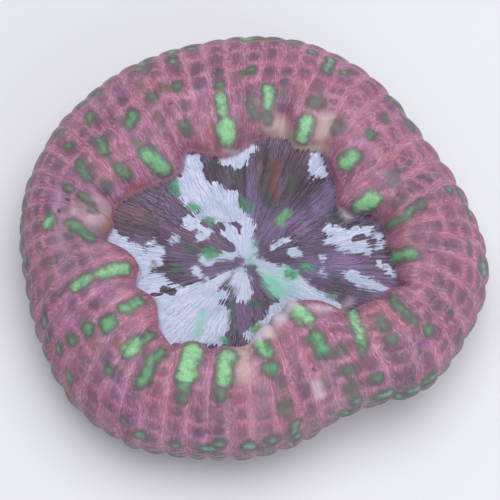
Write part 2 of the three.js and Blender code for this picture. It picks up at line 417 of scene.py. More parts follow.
# Markings. Each is read in the square picture of the camera's view, as from x, y to x, y,
# and lies on the skin that the camera sees there. Widths are in mm. Tone 1 is the lightest.
greenSpots = {
    "innerLobes": [
        (362, 208, 373, 202, 3.0, 0.9),
        (226, 124, 229, 139, 3.3, 0.9), (146, 154, 162, 171, 2.9, 0.75),
        (344, 163, 353, 155, 2.9, 0.75), (302, 138, 308, 120, 2.5, 0.95),
        (354, 213, 369, 210, 1.8, 0.85), (389, 259, 411, 254, 2.1, 0.75),
        (101, 273, 128, 268, 2.0, 0.9), (125, 308, 140, 302, 2.0, 0.7),
        (127, 350, 136, 343, 2.5, 0.85), (187, 372, 194, 348, 3.5, 1.0),
        (224, 379, 228, 354, 2.9, 0.85), (297, 308, 306, 315, 3.0, 0.95),
        (258, 340, 266, 354, 2.0, 0.75), (350, 312, 357, 323, 1.8, 0.9),
        (357, 323, 363, 337, 1.7, 0.85), (363, 337, 366, 352, 1.4, 0.6),
        (392, 299, 409, 312, 1.7, 0.4), (380, 320, 387, 328, 1.7, 0.3),
        (69, 222, 90, 235, 2.0, 0.4), (81, 196, 94, 207, 1.5, 0.35),
        (118, 168, 127, 179, 1.5, 0.45), (151, 364, 161, 351, 1.6, 0.5),
        (144, 338, 153, 333, 1.4, 0.45), (385, 227, 412, 211, 1.0, 0.5),
    ],
    "ringTop": [
        (219, 97, 222, 111, 1.9, 0.9), (269, 87, 269, 104, 1.9, 0.85),
        (269, 115, 269, 121, 1.5, 0.35), (74, 286, 87, 279, 2.0, 0.85),
        (108, 322, 108, 323, 3.2, 0.6), (87, 330, 88, 330, 2.2, 0.55),
        (72, 341, 72, 341, 2.0, 0.45), (144, 381, 148, 372, 2.3, 0.45),
        (184, 386, 184, 387, 2.6, 0.55), (181, 400, 181, 402, 2.1, 0.3),
        (221, 393, 221, 395, 2.4, 0.35), (315, 339, 322, 351, 2.5, 0.6),
        (270, 366, 270, 368, 2.6, 0.55), (416, 321, 416, 321, 1.9, 0.35),
        (392, 339, 392, 341, 2.3, 0.3), (428, 332, 428, 332, 1.7, 0.5),
        (46, 222, 48, 220, 2.8, 0.9), (131, 115, 131, 123, 2.0, 0.55),
        (101, 139, 105, 152, 1.6, 0.5), (79, 163, 86, 175, 2.0, 0.35),
        (87, 115, 89, 119, 1.7, 0.55), (66, 143, 67, 146, 1.4, 0.5),
        (218, 84, 223, 83, 1.2, 0.5), (151, 94, 151, 94, 2.4, 0.3),
        (175, 84, 175, 85, 2.0, 0.4), (184, 125, 185, 132, 1.6, 0.35),
        (250, 97, 255, 118, 1.3, 0.35), (244, 71, 251, 69, 1.2, 0.5),
        (371, 134, 371, 134, 1.8, 0.5), (317, 99, 317, 101, 2.6, 0.25),
        (336, 125, 336, 127, 2.2, 0.2), (395, 176, 395, 179, 2.0, 0.05),
        (386, 116, 386, 116, 1.4, 0.3), (422, 204, 422, 204, 2.2, 0.2),
        (342, 352, 342, 352, 2.0, 0.3), (348, 372, 353, 372, 1.7, 0.3),
        (377, 381, 377, 381, 2.2, 0.45), (108, 370, 108, 370, 1.7, 0.45),
        (69, 187, 69, 187, 1.6, 0.4), (354, 388, 355, 394, 2.0, 0.2),
        (287, 409, 287, 411, 2.6, 0.15),
    ],
    "margin": [
        (139, 61, 142, 63, 1.9, 0.65), (144, 70, 144, 70, 2.0, 0.35),
        (171, 49, 173, 51, 1.8, 0.6), (172, 59, 172, 61, 1.6, 0.45),
        (188, 47, 192, 47, 1.6, 0.4), (244, 37, 249, 36, 2.2, 0.65),
        (264, 36, 274, 36, 1.4, 0.4), (288, 40, 297, 41, 1.7, 0.4),
        (312, 50, 314, 51, 1.3, 0.5), (327, 69, 331, 56, 1.5, 0.6),
        (345, 71, 345, 71, 1.7, 0.45), (394, 97, 400, 103, 1.9, 0.55),
        (407, 115, 412, 126, 1.5, 0.4), (449, 187, 449, 187, 1.3, 0.45),
        (461, 192, 464, 196, 1.7, 0.5), (469, 206, 472, 213, 1.6, 0.5),
        (483, 265, 487, 273, 2.4, 0.4), (24, 261, 24, 261, 2.4, 0.4),
        (21, 240, 21, 240, 1.9, 0.4), (23, 207, 23, 207, 2.8, 0.3),
        (30, 180, 30, 180, 2.0, 0.3), (81, 102, 81, 103, 1.6, 0.45),
        (97, 91, 97, 92, 2.0, 0.3), (59, 132, 59, 132, 1.8, 0.3),
        (43, 320, 45, 334, 1.9, 0.4), (57, 350, 57, 350, 2.1, 0.4),
        (67, 378, 67, 378, 2.4, 0.35), (122, 422, 122, 422, 1.9, 0.25),
        (140, 436, 140, 436, 2.3, 0.55), (172, 447, 177, 447, 1.6, 0.45),
        (202, 450, 212, 450, 1.7, 0.6), (221, 446, 221, 446, 2.0, 0.45),
        (246, 448, 255, 448, 1.6, 0.6), (272, 442, 275, 442, 2.2, 0.4),
        (296, 425, 297, 431, 1.8, 0.4), (299, 437, 300, 437, 1.8, 0.5),
        (345, 415, 345, 415, 2.0, 0.5), (359, 402, 359, 406, 1.6, 0.55),
        (382, 397, 388, 396, 2.0, 0.6), (397, 399, 400, 397, 1.6, 0.5),
        (413, 393, 419, 390, 1.8, 0.45), (427, 383, 436, 377, 1.5, 0.45),
    ],
}
say("green spots are listed")

# Grey spots on the lumps: x, y, width in mm, depth of colour.
greySpots = [
    (192, 71, 2.2, 0.8), (195, 86, 2.2, 0.8), (212, 57, 2.2, 0.6), (215, 72, 2.6, 0.9),
    (181, 107, 2.2, 0.7), (246, 87, 2.2, 0.5), (122, 101, 2.4, 0.9), (126, 110, 2.2, 0.7),
    (116, 91, 2.0, 0.6), (109, 120, 2.6, 0.6), (100, 107, 2.4, 0.5), (139, 142, 3.0, 0.8),
    (158, 118, 3.2, 0.6), (163, 130, 3.0, 0.5), (92, 136, 2.8, 0.7), (105, 188, 3.2, 0.9),
    (97, 180, 2.6, 0.7), (51, 170, 2.4, 0.6), (62, 180, 2.6, 0.7), (55, 163, 2.4, 0.6),
    (40, 187, 2.4, 0.6), (73, 150, 2.6, 0.6), (112, 155, 2.4, 0.6), (116, 162, 2.6, 0.6),
    (42, 260, 3.0, 0.7), (52, 259, 2.6, 0.6), (70, 259, 3.4, 0.7), (82, 258, 3.2, 0.6),
    (289, 72, 2.2, 0.8), (287, 82, 2.6, 0.9), (286, 97, 2.8, 0.8), (286, 105, 2.8, 0.8),
    (267, 71, 2.2, 0.7), (267, 50, 2.0, 0.5), (375, 165, 2.2, 0.7), (401, 167, 2.4, 0.8),
    (389, 147, 2.2, 0.5), (429, 177, 2.6, 0.9), (415, 185, 2.4, 0.8), (422, 204, 2.6, 0.8),
    (400, 200, 2.6, 0.8), (393, 203, 2.4, 0.6), (436, 225, 3.0, 0.8), (454, 220, 2.6, 0.7),
    (439, 195, 2.4, 0.6), (417, 234, 2.8, 0.7), (431, 247, 3.0, 0.9), (450, 245, 2.6, 0.9),
    (471, 242, 2.4, 0.6), (204, 432, 2.8, 0.9), (204, 420, 2.8, 0.7), (225, 430, 2.8, 0.8),
    (206, 412, 2.6, 0.7), (224, 412, 3.0, 0.7), (224, 421, 2.8, 0.7), (207, 390, 2.4, 0.6),
    (101, 352, 3.0, 0.7), (94, 362, 2.6, 0.6), (82, 368, 2.6, 0.6), (71, 312, 2.6, 0.6),
    (46, 295, 2.8, 0.7), (54, 294, 2.6, 0.7), (30, 277, 2.4, 0.6), (92, 304, 2.6, 0.7),
    (135, 394, 2.6, 0.7), (117, 362, 2.6, 0.6), (302, 388, 2.6, 0.8), (304, 395, 2.4, 0.8),
    (299, 377, 2.6, 0.8), (296, 367, 2.4, 0.7), (280, 381, 3.0, 0.9), (285, 400, 3.0, 0.7),
    (268, 420, 3.4, 0.5), (269, 430, 3.2, 0.5), (261, 396, 2.8, 0.5), (322, 361, 2.4, 0.6),
    (330, 372, 2.4, 0.8), (331, 385, 2.4, 0.8), (459, 337, 2.8, 0.9), (436, 304, 2.8, 0.9),
    (452, 310, 2.4, 1.0), (442, 287, 2.4, 0.9), (467, 292, 2.4, 0.6), (455, 290, 2.0, 0.5),
    (432, 272, 2.6, 0.6), (457, 269, 2.6, 0.7), (464, 316, 2.2, 0.5), (399, 354, 2.8, 0.8),
    (415, 347, 2.4, 0.8), (422, 359, 2.6, 0.8), (410, 367, 2.4, 0.7), (412, 380, 2.6, 0.8),
    (394, 380, 2.6, 0.8), (431, 372, 2.8, 0.7), (383, 357, 2.8, 0.5), (355, 382, 2.6, 0.7),
    (373, 367, 2.8, 0.5), (172, 428, 2.8, 0.5), (175, 440, 2.6, 0.5), (190, 446, 2.6, 0.5),
    (250, 395, 2.8, 0.3), (313, 414, 2.6, 0.5), (246, 61, 2.2, 0.5), (300, 121, 2.4, 0.3),
    (333, 102, 2.4, 0.3), (355, 96, 2.4, 0.4), (186, 68, 2.0, 0.5), (160, 105, 3.0, 0.3),
    (150, 148, 2.4, 0.3), (443, 258, 2.6, 0.5), (474, 300, 2.2, 0.4), (367, 230, 3.0, 0.3),
    (325, 365, 2.4, 0.4), (290, 335, 3.0, 0.4), (288, 352, 2.8, 0.5), (310, 372, 2.2, 0.4),
    (128, 376, 2.6, 0.4), (138, 360, 2.8, 0.5), (60, 230, 2.2, 0.2), (30, 300, 2.2, 0.5),
    (262, 143, 2.4, 0.3), (245, 132, 2.4, 0.3), (200, 105, 2.6, 0.3), (240, 115, 2.4, 0.3),
]

# Stretches of bare white skin on the disc, each by its outline.
whitePatches = {
    "upper": [
        (187, 156), (200, 156), (201, 163), (203, 171), (206, 179), (212, 185), (219, 186),
        (224, 191), (234, 192), (238, 196), (237, 202), (240, 209), (246, 215), (251, 221),
        (254, 229), (251, 237), (252, 247), (256, 251), (251, 254), (250, 260), (246, 261),
        (240, 255), (236, 249), (230, 245), (226, 239), (219, 236), (212, 237), (205, 239),
        (197, 240), (198, 235), (204, 232), (200, 228), (192, 228), (187, 226), (189, 223),
        (184, 219), (195, 216), (205, 212), (204, 210), (196, 211), (189, 208), (186, 203),
        (182, 197), (178, 190), (177, 183), (181, 175), (184, 164),
    ],
    "belowSpot": [
        (200, 255), (201, 262), (210, 264), (217, 260), (224, 259), (232, 259), (240, 256),
        (241, 249), (233, 249), (226, 254), (218, 256), (208, 254),
    ],
    "top": [
        (221, 158), (233, 157), (240, 155), (245, 150), (249, 143), (254, 142), (256, 146),
        (250, 154), (246, 163), (241, 167), (233, 168), (226, 163),
    ],
    "left": [
        (104, 246), (112, 229), (115, 235), (125, 240), (135, 245), (142, 251), (150, 251),
        (153, 247), (158, 246), (163, 249), (165, 253), (160, 257), (162, 262), (157, 264),
        (153, 268), (149, 272), (145, 278), (139, 284), (133, 286), (137, 278), (137, 272),
        (130, 262), (118, 253),
    ],
    "lower": [
        (135, 286), (142, 278), (148, 275), (155, 274), (161, 275), (166, 280), (171, 286),
        (185, 287), (197, 285), (205, 283), (211, 280), (217, 276), (224, 273), (231, 273),
        (226, 279), (220, 284), (217, 286), (218, 291), (222, 291), (228, 294), (227, 299),
        (221, 301), (218, 304), (225, 307), (229, 313), (227, 326), (224, 337), (221, 345),
        (197, 342), (165, 343), (162, 332), (156, 315), (149, 298), (140, 290),
    ],
    "middle": [
        (242, 268), (234, 275), (228, 284), (233, 288), (236, 293), (238, 299), (246, 302),
        (251, 297), (248, 284), (245, 273),
    ],
    "lowerRight": [
        (250, 254), (258, 258), (265, 263), (272, 267), (285, 267), (290, 271), (297, 274),
        (303, 280), (309, 285), (316, 291), (325, 295), (333, 298), (340, 304), (337, 308),
        (328, 312), (322, 309), (312, 304), (304, 300), (295, 299), (288, 303), (281, 312),
        (272, 322), (262, 331), (250, 341), (246, 334), (258, 325), (267, 316), (275, 306),
        (281, 297), (275, 293), (270, 288), (267, 279), (261, 270),
        (253, 262),
    ],
    "right": [
        (326, 226), (333, 228), (341, 227), (349, 230), (357, 228), (364, 226), (371, 228),
        (374, 231), (369, 236), (363, 235), (358, 234), (359, 239), (365, 240), (367, 246),
        (370, 254), (363, 251), (352, 250), (343, 250), (337, 246), (333, 242), (325, 243),
        (328, 238), (325, 234),
    ],
    "rightUnder": [(376, 245), (381, 244), (386, 242), (384, 247), (378, 248)],
    "rightOver": [(376, 236), (382, 235), (383, 239), (378, 239)],
    "rightLow": [
        (345, 270), (350, 271), (357, 273), (361, 277), (367, 280), (375, 281), (381, 284),
        (386, 288), (380, 288), (374, 288), (367, 290), (360, 286), (353, 282), (348, 277),
    ],
    "rightEnd": [
        (376, 261), (383, 264), (389, 269), (396, 272), (399, 275), (391, 274), (385, 271),
        (380, 267),
    ],
    "upperRight": [
        (312, 157), (318, 153), (321, 160), (324, 168), (325, 174), (320, 176), (316, 173),
        (312, 178), (312, 172), (311, 163),
    ],
    "ray": [
        (270, 246), (273, 243), (279, 240), (286, 239), (290, 243), (282, 242), (276, 246),
        (271, 248),
    ],
    "streak": [
        (193, 267), (197, 268), (201, 274), (209, 280), (204, 279), (196, 273), (193, 270),
    ],
    "fleckA": [(289, 251), (295, 249), (299, 254), (292, 255)],
    "fleckB": [(321, 256), (326, 259), (323, 262)],
    "fleckC": [(319, 270), (325, 267), (325, 271), (323, 275)],
    "fleckD": [(170, 242), (176, 236), (178, 238), (173, 243)],
    "fleckE": [(149, 243), (154, 241), (155, 245)],
    "fleckF": [(136, 291), (148, 293), (150, 299), (143, 297)],
}

# Dark flesh that shows through the white, and coloured stretches: from x, y to x, y, width.
discMarks = {
    "green": [
        (209, 218, 213, 220, 2.0, 0.5), (208, 251, 214, 251, 2.6, 0.5),
        (244, 201, 250, 206, 2.0, 0.4), (193, 206, 197, 206, 1.6, 0.5),
        (175, 180, 178, 190, 1.7, 0.45), (235, 174, 236, 178, 2.4, 0.1),
        (188, 245, 192, 252, 1.6, 0.25), (178, 266, 180, 268, 1.6, 0.3),
        (280, 219, 284, 212, 1.9, 0.9), (288, 176, 290, 187, 1.8, 0.15),
        (335, 213, 335, 217, 2.4, 0.1), (291, 271, 294, 273, 1.8, 0.5),
        (306, 265, 311, 266, 1.7, 0.6), (333, 276, 340, 282, 1.9, 0.1),
        (252, 302, 259, 303, 1.8, 0.3), (256, 328, 256, 333, 2.0, 0.8),
        (330, 293, 336, 297, 1.6, 0.3), (365, 288, 366, 291, 1.8, 0.2),
        (164, 289, 168, 290, 1.8, 0.1), (231, 320, 234, 332, 1.4, 0.15),
        (223, 341, 228, 347, 1.6, 0.8), (231, 304, 231, 318, 1.4, 0.3),
        (240, 150, 246, 146, 1.2, 0.5), (270, 205, 268, 192, 1.6, 0.1),
        (151, 262, 153, 268, 1.2, 0.25), (226, 283, 232, 289, 1.8, 0.1),
    ],
    "mint": [
        (272, 280, 278, 290, 3.6, 1.0), (288, 270, 294, 274, 2.2, 0.9),
        (284, 278, 292, 286, 3.0, 0.5), (252, 240, 250, 262, 1.6, 0.6),
        (198, 334, 204, 314, 1.5, 0.8), (192, 342, 198, 340, 1.4, 0.9),
        (262, 268, 268, 276, 1.6, 0.5), (179, 183, 182, 194, 1.4, 0.4),
    ],
    "dark": [
        (219, 222, 231, 221, 1.0, 0.6), (231, 221, 239, 226, 1.3, 0.7),
        (239, 226, 240, 233, 0.8, 0.7), (216, 235, 222, 238, 1.3, 0.8),
        (222, 238, 230, 245, 1.5, 0.8), (206, 222, 218, 227, 1.4, 0.7),
        (220, 223, 224, 226, 1.2, 0.6),
        (163, 288, 171, 291, 1.4, 1.0), (152, 293, 161, 293, 0.8, 0.9),
        (331, 233, 344, 235, 0.3, 0.4), (353, 238, 361, 236, 0.7, 0.8),
    ],
    "brown": [
        (120, 212, 140, 216, 4.0, 0.6), (262, 160, 262, 185, 2.4, 0.4),
        (230, 150, 240, 140, 2.4, 0.4), (160, 215, 170, 230, 3.0, 0.3),
    ],
    "streak": [(275, 160, 273, 192, 1.5, 1.0)],
    "deep": [
        (212, 165, 216, 180, 3.4, 0.8), (244, 168, 238, 190, 3.2, 0.8),
        (160, 262, 176, 272, 3.4, 0.5), (118, 200, 150, 186, 4.0, 0.5),
        (270, 250, 300, 262, 3.0, 0.4),
        (296, 160, 300, 200, 4.4, 0.7), (266, 150, 268, 196, 3.4, 0.8),
        (146, 230, 160, 236, 3.0, 0.4), (284, 165, 286, 195, 2.0, 0.6),
        (313, 182, 320, 194, 3.0, 0.6), (240, 175, 244, 200, 3.0, 0.5),
        (112, 226, 150, 222, 3.0, 0.5),
    ],
    "discViolet": [
        (340, 262, 392, 286, 4.4, 0.9), (304, 262, 345, 272, 4.0, 0.6),
        (296, 214, 300, 224, 3.6, 0.6), (318, 206, 326, 194, 2.8, 1.0),
        (270, 230, 300, 210, 4.0, 0.4), (192, 268, 215, 272, 3.0, 0.3),
        (390, 280, 400, 284, 3.0, 0.9), (372, 290, 392, 298, 3.0, 0.7), (228, 185, 240, 200, 2.0, 0.3),
        (250, 160, 254, 215, 2.4, 0.6), (240, 262, 252, 330, 5.0, 0.5),
    ],
}

# Paler and odd-coloured stretches of the flesh, and dark dots of painted shade in small pits.
fleshMarks = {
    "cream": [
        (277, 128, 289, 140, 4.4, 0.8), (322, 136, 329, 124, 3.4, 0.7),
        (292, 148, 326, 150, 1.6, 1.0), (240, 346, 246, 372, 3.4, 0.6),
        (246, 344, 268, 330, 3.4, 0.7), (288, 136, 290, 144, 2.0, 0.5),
    ],
    "white": [
        (290, 302, 278, 315, 3.6, 0.9), (290, 304, 330, 308, 1.2, 0.6),
        (278, 315, 250, 338, 3.6, 0.8), (342, 212, 350, 219, 0.7, 0.9), (224, 152, 246, 156, 1.0, 0.6),
        (317, 388, 320, 396, 1.7, 0.7), (340, 308, 352, 300, 1.0, 0.5),
    ],
    "pale": [
        (76, 216, 104, 218, 5.2, 0.8), (90, 204, 108, 212, 3.4, 0.6),
        (58, 212, 60, 260, 3.6, 0.4), (330, 370, 350, 410, 3.0, 0.3),
        (258, 390, 262, 440, 3.0, 0.3), (315, 112, 325, 120, 3.0, 0.3),
    ],
    "orange": [
        (107, 228, 118, 208, 1.7, 1.0), (118, 208, 140, 187, 1.5, 0.7),
        (118, 344, 120, 348, 2.4, 0.7), (92, 344, 96, 352, 2.6, 0.4),
        (72, 286, 74, 290, 2.4, 0.4),
    ],
    "violet": [
        (56, 200, 66, 216, 3.6, 0.8), (56, 232, 62, 262, 3.4, 0.5),
        (100, 345, 112, 380, 4.0, 0.4), (382, 170, 392, 178, 3.4, 0.4),
        (362, 140, 372, 150, 3.4, 0.4), (60, 270, 110, 292, 4.0, 0.3),
    ],
    "grey": [
        (66, 236, 106, 232, 4.2, 0.7), (60, 262, 84, 262, 4.0, 0.5),
        (110, 232, 96, 246, 3.0, 0.5),
    ],
    "warm": [
        (170, 402, 300, 415, 12.0, 0.45), (410, 205, 465, 290, 11.0, 0.35),
        (200, 150, 212, 154, 4.0, 0.5), (246, 150, 262, 140, 3.0, 0.3),
        (350, 186, 372, 196, 4.0, 0.3), (196, 168, 215, 160, 3.0, 0.3),
        (310, 70, 420, 160, 12.0, 0.35),
    ],
    "net": [
        (345, 95, 425, 165, 9.0, 0.75), (430, 175, 455, 200, 5.0, 0.5), (330, 75, 360, 85, 4.0, 0.4),
        (40, 175, 70, 195, 4.0, 0.4), (300, 60, 320, 80, 4.0, 0.3), (100, 90, 140, 90, 5.0, 0.3),
    ],
    # small pits, drawn as dark dots: painted shade inside hollows that the mesh doesn't have
    "pits": [
        (66, 199, 67, 200, 0.5, 1.0), (57, 210, 58, 211, 0.6, 1.0), (61, 203, 61, 203, 0.3, 0.7),
        (312, 370, 316, 373, 0.35, 0.9), (169, 102, 170, 102, 0.3, 1.0), (173, 102, 173, 102, 0.3, 0.6),
    ],
}
say("markings are listed")

seenX, seenY, seenDepth = inView(skin, cameraView)


def facingCamera():
    tilt = math.radians(cameraView["elevation"])
    back = np.array((0.0, -math.cos(tilt), math.sin(tilt)))
    eye = np.array(cameraView["target"]) + back * cameraView["distance"]
    toward = eye - skin
    return np.sum(toward * skinNormal, -1) > 0


faces = facingCamera()


def placeAt(x, y):
    # the skin's nearest visible place to a point in the picture
    away = np.hypot(seenX - x, seenY - y) + np.where(faces, 0, 1e6)
    near = away < away.min() + 1.5
    return skin[np.unravel_index(np.argmin(np.where(near, seenDepth, 1e9)), near.shape)]


markStep = 7.0     # pixels, so that a long mark follows the skin over its folds


def depthInside(mark):
    # mm inside the edge of a spot that runs between two points, below 0 outside
    startX, startY, endX, endY, width = mark[:5]
    steps = max(math.ceil(math.hypot(endX - startX, endY - startY) / markStep), 1)
    stops = [placeAt(x, y) for x, y in zip(
        np.linspace(startX, endX, steps + 1), np.linspace(startY, endY, steps + 1))]
    nearest = np.full(gridAngle.shape, 1e9)
    for start, end in zip(stops, stops[1:]):
        run = end - start
        length = max(float(run @ run), 1e-9)
        part = np.clip(((skin - start) @ run) / length, 0, 1)
        away = np.linalg.norm(skin - start - part[..., None] * run, axis=-1)
        nearest = np.minimum(nearest, away)
    return width / 2 - nearest


def spotField(marks):
    # the deepest of the spots at each place, and its tone
    field = np.full(gridAngle.shape, -3.0)
    tone = np.zeros(gridAngle.shape)
    for mark in marks:
        inside = depthInside(mark)
        deeper = inside > field
        field[deeper] = inside[deeper]
        tone[deeper] = mark[5]
    return field, tone


def softMarks(marks, edge):
    # how strongly soft marks colour each place
    total = np.zeros(gridAngle.shape)
    for mark in marks:
        total = np.maximum(total, mark[5] * smoothStep(depthInside(mark), -edge, edge))
    return total


def patchField():
    # mm inside the white patches, below 0 outside, measured in the picture
    field = np.full(gridAngle.shape, -4.0)
    scale = cameraView["lens"] / cameraView["sensor"] * viewPixels / cameraView["distance"]
    for outline in whitePatches.values():
        corners = np.array(outline, float)
        inside = np.zeros(gridAngle.shape, bool)
        nearest = np.full(gridAngle.shape, 1e9)
        for start, end in zip(corners, np.roll(corners, -1, 0)):
            run = end - start
            part = ((seenX - start[0]) * run[0] + (seenY - start[1]) * run[1]) / (run @ run)
            part = np.clip(part, 0, 1)
            away = np.hypot(seenX - start[0] - part * run[0], seenY - start[1] - part * run[1])
            nearest = np.minimum(nearest, away)
            crosses = (start[1] > seenY) != (end[1] > seenY)
            crossing = start[0] + run[0] * (seenY - start[1]) / (run[1] if run[1] else 1e-9)
            inside ^= crosses & (seenX < crossing)
        field = np.maximum(field, np.where(inside, nearest, -nearest) / scale)
    return np.where(gridWay < 4, field, -4.0)


greenList = greenSpots["innerLobes"] + greenSpots["ringTop"] + greenSpots["margin"]
fields = {"way": gridWay}
fields["greenField"], fields["greenTone"] = spotField(greenList)
fields["teal"] = smoothStep(spotField(greenSpots["margin"])[0], -1.0, -0.5)
fields["discGreenField"], fields["discGreenTone"] = spotField(discMarks["green"])
fields["greyField"], fields["greyTone"] = spotField(
    [(x, y, x, y, width, tone) for x, y, width, tone in greySpots])
fields["pitField"] = spotField(fleshMarks["pits"])[0]
fields["whiteField"] = patchField()
softEdges = {  # mm, from the faint edge of a soft mark to its middle
    "mint": 0.9, "dark": 0.4, "brown": 1.2, "streak": 0.8, "deep": 1.4, "discViolet": 1.6,
    "cream": 1.6,
    "white": 1.0, "pale": 1.6, "orange": 0.7, "violet": 1.6, "grey": 1.6, "warm": 1.6, "net": 1.6,
}
for name, edge in softEdges.items():
    fields[name] = softMarks({**discMarks, **fleshMarks}[name], edge)

# The thin light edge of the lobes on the left of the disc: mm over the ring, and degrees.
edgeLight = {"middle": 0.8, "width": 0.6, "from": (183, 195), "to": (240, 255), "strength": 0.75}
lightEdge = np.exp(-((gridWay - edgeLight["middle"]) / edgeLight["width"]) ** 2)
lightEdge = lightEdge * smoothStep(gridAngle, *edgeLight["from"])
lightEdge = lightEdge * (1 - smoothStep(gridAngle, *edgeLight["to"]))
fields["white"] = np.maximum(fields["white"], edgeLight["strength"] * lightEdge)
say("markings are placed")

# What the flesh shows where no marking is listed: spots of uneven depth, one for each lump.
lumpSpots = {
    "seed": 11,
    "strength": 0.72,
    "depths": (0.25, 1.0),
    "nearDisc": 0.3,         # the first two lumps of a row, and the third, are fainter
    "third": 0.7,
}


def lumpStrength():
    chance = np.random.default_rng(lumpSpots["seed"])
    size = (len(rows), form["lumpsPerRow"])
    depth = chance.uniform(*lumpSpots["depths"], size) * lumpSpots["strength"]
    depth[:, :2] *= lumpSpots["nearDisc"]
    depth[:, 2] *= lumpSpots["third"]
    return depth[gridRow, lump]


def creaseDistance():
    # mm across the skin from the crease beside each row
    result = np.zeros(gridAngle.shape)
    for number in range(len(rows)):
        members = np.nonzero(columnRow == number)[0]
        run = np.concatenate([members, [(members[-1] + 1) % len(columnRow)]])
        steps = np.linalg.norm(np.diff(skin[run], axis=0), axis=-1)
        along = np.concatenate([np.zeros((1, steps.shape[1])), np.cumsum(steps, 0)])[:-1]
        whole = steps.sum(0)
        result[members] = np.minimum(along, whole - along)
    return result


def lumpCentres(creaseMm):
    # how far each place is from the middle of its lump, 1 at its edge
    result = np.zeros(gridAngle.shape)
    for number in range(len(rows)):
        members = columnRow == number
        half = np.maximum(creaseMm[members].max(0), 0.3)
        result[members] = np.hypot(1 - np.clip(creaseMm[members] / half, 0, 1), lumpAlong[members])
    return result


turn = np.radians(gridAngle)
fibre = np.stack([np.cos(turn), np.sin(turn), gridWay], -1)
creaseMm = creaseDistance()
creaseWidthAt = smoothRound([(0, 1.0), (90, 1.0), (180, 1.1), (230, 1.5), (270, 1.45), (315, 1.1)])
fields["creaseMm"] = creaseMm / creaseWidthAt(gridAngle)
fields["gapMm"] = np.where(onRing, lumpEnd, 0)
fields["lumpRound"] = lumpCentres(creaseMm)
fields["lumpDepth"] = lumpStrength()
# how much higher the grey of the rim starts, as degrees around and mm
rimShiftAt = smoothRound([
    (0, 0.0), (45, 2.7), (90, 6.8), (135, 6.5), (180, 3.0), (225, 0.0), (270, 3.0), (305, 3.6),
    (330, 2.4),
])
fields["rimShift"] = rimShiftAt(gridAngle)
say("fields for the colours are ready")

coral = {
    "name": "coral_polyp",
}


def makeSkinMesh():
    columns, stations = gridAngle.shape
    points = [tuple(place) for place in skin.reshape(-1, 3)]
    quads = []
    for column in range(columns):
        beside = (column + 1) % columns
        for station in range(stations - 1):
            quads.append((
                column * stations + station, column * stations + station + 1,
                beside * stations + station + 1, beside * stations + station,
            ))
    mouth = len(points)
    mouthPoint = np.array(form["mouth"], float)
    mouthPoint[2] = skin[:, 0, 2].mean() - 0.1
    points.append(tuple(mouthPoint))
    for column in range(columns):
        beside = (column + 1) % columns
        quads.append((mouth, column * stations, beside * stations))
    edge = skin[:, -1]
    middle = edge.mean(0)
    lastRing = [column * stations + stations - 1 for column in range(columns)]
    for ring in range(1, meshing["cutRings"]):
        share = 1 - ring / meshing["cutRings"]
        start = len(points)
        points.extend(tuple(middle + (place - middle) * share) for place in edge)
        for column in range(columns):
            beside = (column + 1) % columns
            quads.append((lastRing[column], start + column, start + beside, lastRing[beside]))
        lastRing = [start + column for column in range(columns)]
    centre = len(points)
    points.append(tuple(middle))
    for column in range(columns):
        beside = (column + 1) % columns
        quads.append((lastRing[column], centre, lastRing[beside]))
    mesh = bpy.data.meshes.new(coral["name"])
    scaled = [(x * mm, y * mm, z * mm) for x, y, z in points]
    mesh.from_pydata(scaled, [], quads)
    mesh.update()
    mesh.shade_smooth()
    return mesh, columns * stations


coralMesh, gridPoints = makeSkinMesh()


def addField(name, values):
    # one number for each point of the mesh, 0 on the cut
    whole = np.zeros(len(coralMesh.vertices))
    whole[:gridPoints] = values.reshape(-1)
    attribute = coralMesh.attributes.new(name, "FLOAT", "POINT")
    attribute.data.foreach_set("value", whole)


def addVector(name, values):
    whole = np.zeros((len(coralMesh.vertices), 3))
    whole[:gridPoints] = values.reshape(-1, 3)
    attribute = coralMesh.attributes.new(name, "FLOAT_VECTOR", "POINT")
    attribute.data.foreach_set("vector", whole.reshape(-1))


addVector("fibre", fibre)
for name, values in fields.items():
    addField(name, values)
fieldNames = list(fields)
say("the mesh is made")


def linear(code):
    # a colour as a designer's hex code, made linear
    parts = [int(code[start:start + 2], 16) / 255 for start in (1, 3, 5)]
    light = [p / 12.92 if p <= 0.04045 else ((p + 0.055) / 1.055) ** 2.4 for p in parts]
    return tuple(light) + (1.0,)


def addNode(tree, kind, inputs=(), result=0, **settings):
    # adds one node with its settings, links what is a socket and gives back one output, if any
    node = tree.nodes.new("ShaderNode" + kind)
    for key, value in settings.items():
        setattr(node, key, value)
    pairs = inputs.items() if isinstance(inputs, dict) else enumerate(inputs)
    for key, value in pairs:
        if isinstance(value, bpy.types.NodeSocket):
            tree.links.new(value, node.inputs[key])
        else:
            node.inputs[key].default_value = value
    return node.outputs[result] if node.outputs else None


def newMaterial(name):
    material = bpy.data.materials.new(name)
    material.use_nodes = True
    material.node_tree.nodes.clear()
    return material


smooth = {"interpolation_type": "SMOOTHSTEP"}
times = {"operation": "MULTIPLY"}
timesPlus = {"operation": "MULTIPLY_ADD"}
plus = {"operation": "ADD"}
less = {"operation": "SUBTRACT"}
greater = {"operation": "MAXIMUM"}

